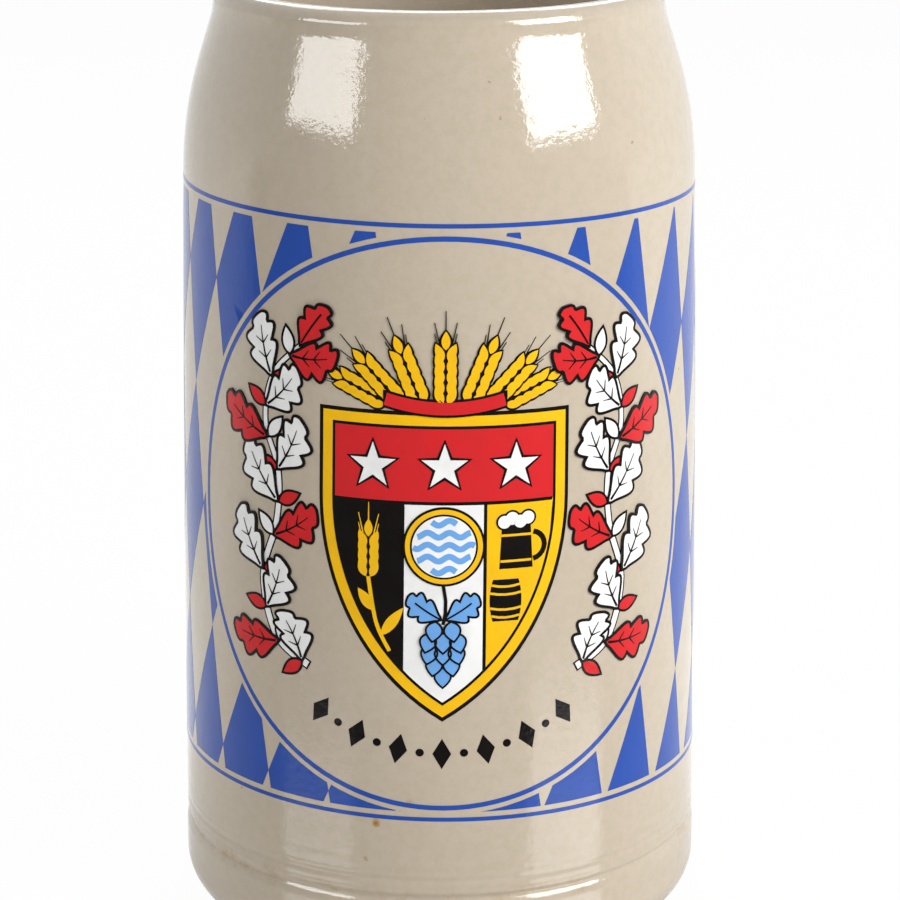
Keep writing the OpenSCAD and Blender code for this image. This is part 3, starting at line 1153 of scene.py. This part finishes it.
# ---------------------------------------------------------------- the strap handle, in mm


class Strap:
    """The strap's centre line, section and seats on the wall, as the frame's handle has them."""

    top_drop = 16.0
    foot_rise = 35.0
    reach = 38.0
    width = 23.0
    thick = 12.5
    swell = 1.3
    slip_t = 0.8
    fillet = 4.0
    roundness = 0.82
    joint_end = 0.2
    sides = 40
    joint_rings = 14
    middle_rings = 96

    def __init__(self, outline):
        self.wall_r = outline.wall_r
        top_z = outline.wall_z1 - self.top_drop
        foot_z = outline.wall_z0 + self.foot_rise
        span = top_z - foot_z
        buried = 0.72 * self.thick
        out = self.wall_r(top_z) + self.reach
        mid_z = foot_z + 0.6 * span
        self.upper = [
            Vector((self.wall_r(top_z) - buried, top_z - 0.02 * span)),
            Vector((self.wall_r(top_z) + 0.55 * self.reach, top_z + 0.14 * span)),
            Vector((out, top_z - 0.02 * span)),
            Vector((out, mid_z)),
        ]
        self.lower = [
            Vector((out, mid_z)),
            Vector((out, mid_z - 0.34 * span)),
            Vector((self.wall_r(foot_z) + 0.62 * self.reach, foot_z + 0.16 * span)),
            Vector((self.wall_r(foot_z) - buried, foot_z - 0.03 * span)),
        ]

    def along(self, t):
        """Place and direction [y, z] on the centre line, from t = 0 on top to t = 2 below."""
        p, t = (self.upper, t) if t < 1 else (self.lower, t - 1)
        u = 1 - t
        place = u**3 * p[0] + 3 * t * u**2 * p[1] + 3 * t * t * u * p[2] + t**3 * p[3]
        way = u**2 * (p[1] - p[0]) + 2 * t * u * (p[2] - p[1]) + t * t * (p[3] - p[2])
        return place, way.normalized()

    def scale(self, t):
        grown = 1 + (self.swell - 1) * max(0, 1 - t) ** 2 - 0.12 * max(0, t - 1)
        return grown + 0.14 * max(0, 1 - t / 0.3) ** 2 + 0.2 * max(0, 1 - (2 - t) / 0.3) ** 2

    def point(self, t, side, grow=0.0):
        """A point of the skin at station t, moved out by grow."""
        place, way = self.along(t)
        angle = math.tau * side / self.sides
        across = math.copysign(abs(math.cos(angle)) ** self.roundness, math.cos(angle))
        out = math.copysign(abs(math.sin(angle)) ** self.roundness, math.sin(angle))
        across *= self.scale(t) * self.width / 2 + grow
        out *= self.scale(t) * self.thick / 2 + grow
        return Vector((across, place.x - out * way.y, place.y + out * way.x))

    def seat(self, at, side, out, grow):
        """The distance from an end of the centre line at which a side reaches the wall."""
        near, far = 0.0, self.joint_end
        for _ in range(24):
            mid = (near + far) / 2
            p = self.point(abs(at - mid), side, grow)
            if math.hypot(p.x, p.y) > self.wall_r(p.z) + out:
                far = mid
            else:
                near = mid
        return near

    def joint_ring(self, at, part, out, grow=0.0):
        """part = 0 follows the wall's curve, and part = 1 is square to the centre line."""
        ring = []
        for side in range(self.sides):
            start = self.seat(at, side, out, grow)
            t = start + part * (self.joint_end - start)
            ring.append(self.point(abs(at - t), side, grow * (1 - part) ** 2))
        return ring

    def ring(self, t):
        return [self.point(t, side) for side in range(self.sides)]

    def end_rings(self, at):
        count = self.joint_rings
        return [self.joint_ring(at, k / count, self.slip_t) for k in range(count)]


def loft(rings):
    """A closed skin over a row of rings, each made from a circle and bridged to the next."""
    bm = bmesh.new()
    loops = []
    for ring in rings:
        made = bmesh.ops.create_circle(bm, cap_ends=False, radius=1.0, segments=len(ring))["verts"]
        for vert, place in zip(made, ring):
            vert.co = place * MM
        loops.append(list({edge for vert in made for edge in vert.link_edges}))
    for a, b in zip(loops, loops[1:]):
        bmesh.ops.bridge_loops(bm, edges=a + b)
    bmesh.ops.holes_fill(bm, edges=loops[0] + loops[-1], sides=len(rings[0]))
    bmesh.ops.recalc_face_normals(bm, faces=bm.faces)
    return bm


# ---------------------------------------------------------------- operators


class MUG_OT_camera(bpy.types.Operator):
    """Places the camera in front of the mug, a little above it"""

    bl_idname = "mug.camera"
    bl_label = "Camera"

    distance: bpy.props.FloatProperty(
        name="Distance", description="From the mug's axis", default=0.650, unit="LENGTH"
    )
    height: bpy.props.FloatProperty(
        name="Height", description="Above the table", default=0.2863, unit="LENGTH"
    )
    tilt: bpy.props.FloatProperty(
        name="Tilt",
        description="How far it looks down",
        default=math.radians(16.11),
        subtype="ANGLE",
    )
    turn: bpy.props.FloatProperty(
        name="Turn",
        description="How far it looks to the right",
        default=math.radians(0.20),
        subtype="ANGLE",
    )
    lens: bpy.props.FloatProperty(
        name="Lens", description="Focal length", default=124.81, unit="CAMERA"
    )

    def execute(self, context):
        data = bpy.data.cameras.new("camera")
        data.lens = self.lens
        data.sensor_width = 36
        data.clip_start = 0.01
        data.clip_end = 50
        camera = bpy.data.objects.new("camera", data)
        camera.location = (0, -self.distance, self.height)
        camera.rotation_euler = (math.pi / 2 - self.tilt, 0, -self.turn)
        context.scene.collection.objects.link(camera)
        context.scene.camera = camera
        return {"FINISHED"}


class MUG_OT_body(bpy.types.Operator):
    """Turns the glazed body, with its bare foot ring"""

    bl_idname = "mug.body"
    bl_label = "Body"

    def execute(self, context):
        outline = Outline(sizes())
        points = outline.underside() + outline.outside() + outline.inside()
        bm = spin_outline(points)
        bare = outline.foot_recess * MM
        ring_r = (outline.band_r - outline.foot_round + 1.5) * MM
        for face in bm.faces:
            c = face.calc_center_median()
            if c.z < bare + 1e-5 and math.hypot(c.x, c.y) < ring_r:
                face.material_index = 1
        materials = [glazed_stoneware(), bare_stoneware()]
        piece = finish_piece("body_glazed", bm, materials, smooth_angle=math.radians(50))
        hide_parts("body")
        return {"FINISHED"}


class MUG_OT_handle(bpy.types.Operator):
    """Lofts the strap handle between its two seats on the wall"""

    bl_idname = "mug.handle"
    bl_label = "Handle"

    def execute(self, context):
        strap = Strap(Outline(sizes()))
        rings = strap.end_rings(0)
        for t in spread(strap.joint_end, 2 - strap.joint_end, strap.middle_rings):
            rings.append(strap.ring(t))
        rings += reversed(strap.end_rings(2))
        material = glazed_stoneware("Glazed strap")
        piece = finish_piece("handle_glazed", loft(rings), [material], smooth_angle=STRAP_SMOOTH)
        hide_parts("handle")
        return {"FINISHED"}


class MUG_OT_slip_joints(bpy.types.Operator):
    """Smooths the slip round both ends of the strap"""

    bl_idname = "mug.slip_joints"
    bl_label = "Slip joints"

    def execute(self, context):
        strap = Strap(Outline(sizes()))
        material = glazed_stoneware("Glazed slip")
        for node, at in (("upper_slip_joint", 0), ("lower_slip_joint", 2)):
            rings = []
            for k in range(strap.joint_rings):
                rings.append(strap.joint_ring(at, k / strap.joint_rings, -0.3, strap.fillet))
            rings.append(strap.ring(abs(at - strap.joint_end)))
            rings += reversed(strap.end_rings(at))
            piece = finish_piece(
                node + "_glazed", loft(rings), [material], smooth_angle=STRAP_SMOOTH
            )
            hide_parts(node)
        return {"FINISHED"}


class MUG_OT_lozenge_band(bpy.types.Operator):
    """Prints the band of blue lozenges round the wall"""

    bl_idname = "mug.lozenge_band"
    bl_label = "Lozenge band"

    def execute(self, context):
        layout = Print(Outline(sizes()))
        across = Vector((LOZENGE_W, -LOZENGE_W * math.tan(math.radians(ROW_SLANT))))
        down = Vector((-LOZENGE_H * math.tan(math.radians(COLUMN_SLANT)), -LOZENGE_H))
        # The middle of the lozenge nearest the ring's middle
        start = layout.centre + Vector((0.32 * LOZENGE_W, -0.2 * LOZENGE_H))
        columns = math.ceil(layout.half_round / LOZENGE_W) + 1
        bm = bmesh.new()
        for column in range(-columns, columns + 1):
            for row in range(-4, 5):
                middle = start + column * across + row * down
                near = abs(middle.x) < layout.half_round + LOZENGE_W
                if near and 0 < middle.y < layout.outline.body_h:
                    corners = (-across, down, across, -down)
                    add_shape(bm, [middle + corner / 2 for corner in corners])
        edge = LINE_W / 2 + LINE_GAP
        up = Vector((math.tan(math.radians(PRINT_LEAN)), 0, 1)).normalized()
        cut(bm, (0, 0, layout.top_z - edge), up, clear_outer=True)
        cut(bm, (0, 0, layout.foot_z + edge), up, clear_inner=True)
        cut(bm, (layout.half_round, 0, 0), (1, 0, 0), clear_outer=True)
        cut(bm, (-layout.half_round, 0, 0), (1, 0, 0), clear_inner=True)
        cut_out_circle(bm, layout.centre, layout.ring_r + RING_GAP)
        piece = print_piece("lozenge_band", bm, layout, fired_ink("blue"))
        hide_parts("lozenge_transfer")
        return {"FINISHED"}


class MUG_OT_lines(bpy.types.Operator):
    """Prints the two border lines and the medallion's ring"""

    bl_idname = "mug.lines"
    bl_label = "Border lines and ring"

    def execute(self, context):
        layout = Print(Outline(sizes()))
        lines = (("upper_line_transfer", layout.top_z), ("lower_line_transfer", layout.foot_z))
        for node, z in lines:
            line = []
            for part in spread(-1, 1, 120):
                u = layout.half_round * part
                line.append((u, z - math.tan(math.radians(PRINT_LEAN)) * u))
            bm = bmesh.new()
            add_stroke(bm, line, LINE_W)
            piece = print_piece(node + "_ink", bm, layout, fired_ink("blue"))
            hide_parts(node)
        bm = bmesh.new()
        ring = arc(layout.centre, layout.ring_r - RING_W / 2, 0, 360, 2.5)[:-1]
        add_stroke(bm, ring, RING_W, closed=True)
        piece = print_piece("medallion_ring", bm, layout, fired_ink("blue"))
        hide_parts("ring_transfer")
        return {"FINISHED"}


class MUG_OT_stage(bpy.types.Operator):
    """Sets up the pale floor, the three softboxes and the white surroundings"""

    bl_idname = "mug.stage"
    bl_label = "Stage"

    fill: bpy.props.FloatProperty(name="Fill", description="Light from all round", default=0.14)

    # Each softbox: name, azimuth from the mug's front, rise, width and height in degrees, light
    lamps = (
        ("softbox_left", -57.0, 17.8, 33.0, 15.0, 7.0),
        ("softbox_right", 59.0, 24.0, 34.5, 32.0, 10.3),
        ("softbox_back", 180.0, 38.0, 40.0, 30.0, 4.0),
    )

    def execute(self, context):
        self.floor(context)
        for lamp in self.lamps:
            self.softbox(context, *lamp)
        self.surroundings(context)
        context.scene.view_settings.view_transform = "Standard"
        return {"FINISHED"}

    def floor(self, context):
        bm = bmesh.new()
        bmesh.ops.create_grid(bm, x_segments=1, y_segments=1, size=4.0)
        mesh = bpy.data.meshes.new("floor")
        bm.to_mesh(mesh)
        bm.free()
        floor = bpy.data.objects.new("floor", mesh)
        context.scene.collection.objects.link(floor)
        material, tree, shader = new_material("Pale floor")
        shader.inputs["Base Color"].default_value = linear("#F4F4F2")
        shader.inputs["Roughness"].default_value = 0.6
        place = add_node(tree, "ShaderNodeTexCoord").outputs["Object"]
        reflected, seen, white = self.whiteness(tree, place, -0.12, 0.12)
        amount = add_node(tree, "ShaderNodeMath", MULTIPLY, inputs={1: 0.97}, links={0: seen})
        glow = add_node(
            tree, "ShaderNodeEmission", inputs={"Color": grey(1.0)}, links={"Strength": white}
        )
        mix = add_node(
            tree,
            "ShaderNodeMixShader",
            links={0: amount.outputs[0], 1: shader.outputs["BSDF"], 2: glow.outputs["Emission"]},
        )
        # The table shines a little close to the mug, so the softboxes show low on its wall.
        away = add_node(tree, "ShaderNodeVectorMath", {"operation": "LENGTH"}, links={0: place})
        polish = add_node(
            tree,
            "ShaderNodeMapRange",
            SMOOTH_STEP,
            falling(0.14, 0.34, top=0.2),
            {"Value": away.outputs["Value"]},
        )
        shine = add_node(
            tree,
            "ShaderNodeBsdfGlossy",
            inputs={"Roughness": 0.12},
            links={"Color": polish.outputs["Result"]},
        )
        near = add_node(tree, "ShaderNodeMixShader", links={0: reflected, 2: shine.outputs[0]})
        both = add_node(
            tree, "ShaderNodeAddShader", links={0: mix.outputs[0], 1: near.outputs[0]}
        )
        tree.links.new(both.outputs[0], tree.nodes["Material Output"].inputs["Surface"])
        mesh.materials.append(material)

    def softbox(self, context, name, azimuth, rise, width, height, light):
        """A lamp that fills a width and height in degrees, seen from the mug's shoulder."""
        aim = Vector((0, -0.045, 0.185))
        distance = 1.2
        a, e = math.radians(azimuth), math.radians(rise)
        way = Vector((math.cos(e) * math.sin(a), -math.cos(e) * math.cos(a), math.sin(e)))
        data = bpy.data.lights.new(name, "AREA")
        data.shape = "RECTANGLE"
        data.size = 2 * distance * math.tan(math.radians(width / 2))
        data.size_y = 2 * distance * math.tan(math.radians(height / 2))
        data.energy = light * math.pi * data.size * data.size_y
        lamp = bpy.data.objects.new(name, data)
        lamp.location = aim + distance * way
        lamp.rotation_euler = way.to_track_quat("Z", "Y").to_euler()
        context.scene.collection.objects.link(lamp)

    def surroundings(self, context):
        world = bpy.data.worlds.new("studio")
        world.use_nodes = True
        tree = world.node_tree
        tree.nodes.clear()
        direction = add_node(tree, "ShaderNodeTexCoord").outputs["Generated"]
        _, seen, white = self.whiteness(tree, direction, -0.5, 0.45)
        soft = add_node(
            tree,
            "ShaderNodeBackground",
            inputs={"Color": linear("#F4F7FF"), "Strength": self.fill},
        )
        wall = add_node(
            tree, "ShaderNodeBackground", inputs={"Color": grey(1.0)}, links={"Strength": white}
        )
        mix = add_node(
            tree, "ShaderNodeMixShader", links={0: seen, 1: soft.outputs[0], 2: wall.outputs[0]}
        )
        add_node(tree, "ShaderNodeOutputWorld", links={"Surface": mix.outputs[0]})
        context.scene.world = world

    def whiteness(self, tree, place, front, back):
        """Whether a ray is a reflection, whether it sees the white studio, and how white that is.

        The eye sees white all round. Reflections see white behind the mug, from back on along Y,
        and a dim room before it.
        """
        path = add_node(tree, "ShaderNodeLightPath")
        reflected = add_node(
            tree,
            "ShaderNodeMath",
            LARGER,
            links={0: path.outputs["Is Glossy Ray"], 1: path.outputs["Is Transmission Ray"]},
        )
        seen = add_node(
            tree,
            "ShaderNodeMath",
            LARGER,
            links={0: path.outputs["Is Camera Ray"], 1: reflected.outputs[0]},
        )
        axes = add_node(tree, "ShaderNodeSeparateXYZ", links={"Vector": place})
        behind = add_node(
            tree,
            "ShaderNodeMapRange",
            SMOOTH_STEP,
            inputs={"From Min": front, "From Max": back, "To Min": 0.06, "To Max": 1.0},
            links={"Value": axes.outputs["Y"]},
        )
        white = add_node(
            tree,
            "ShaderNodeMath",
            LARGER,
            links={0: path.outputs["Is Camera Ray"], 1: behind.outputs["Result"]},
        )
        return reflected.outputs[0], seen.outputs[0], white.outputs[0]


class MUG_PT_panel(bpy.types.Panel):
    """Lists the mug's operators"""

    bl_idname = "MUG_PT_panel"
    bl_label = "Beer Mug"
    bl_space_type = "VIEW_3D"
    bl_region_type = "UI"
    bl_category = "Beer Mug"

    def draw(self, context):
        for operator in OPERATORS:
            self.layout.operator(operator.bl_idname)


OPERATORS = (
    MUG_OT_camera,
    MUG_OT_stage,
    MUG_OT_body,
    MUG_OT_handle,
    MUG_OT_slip_joints,
    MUG_OT_lozenge_band,
    MUG_OT_lines,
    MUG_OT_shield,
    MUG_OT_crest,
    MUG_OT_sprays,
    MUG_OT_border_ornament,
)
CLASSES = (MugSizes, MugColours, *OPERATORS, MUG_PT_panel)


def register():
    for cls in CLASSES:
        bpy.utils.register_class(cls)
    bpy.types.Scene.mug_sizes = bpy.props.PointerProperty(type=MugSizes)
    bpy.types.Scene.mug_colours = bpy.props.PointerProperty(type=MugColours)


def unregister():
    del bpy.types.Scene.mug_colours
    del bpy.types.Scene.mug_sizes
    for cls in reversed(CLASSES):
        bpy.utils.unregister_class(cls)


def main():
    register()
    for operator in OPERATORS:
        group, name = operator.bl_idname.split(".")
        getattr(getattr(bpy.ops, group), name)()


if __name__ == "__main__":
    main()
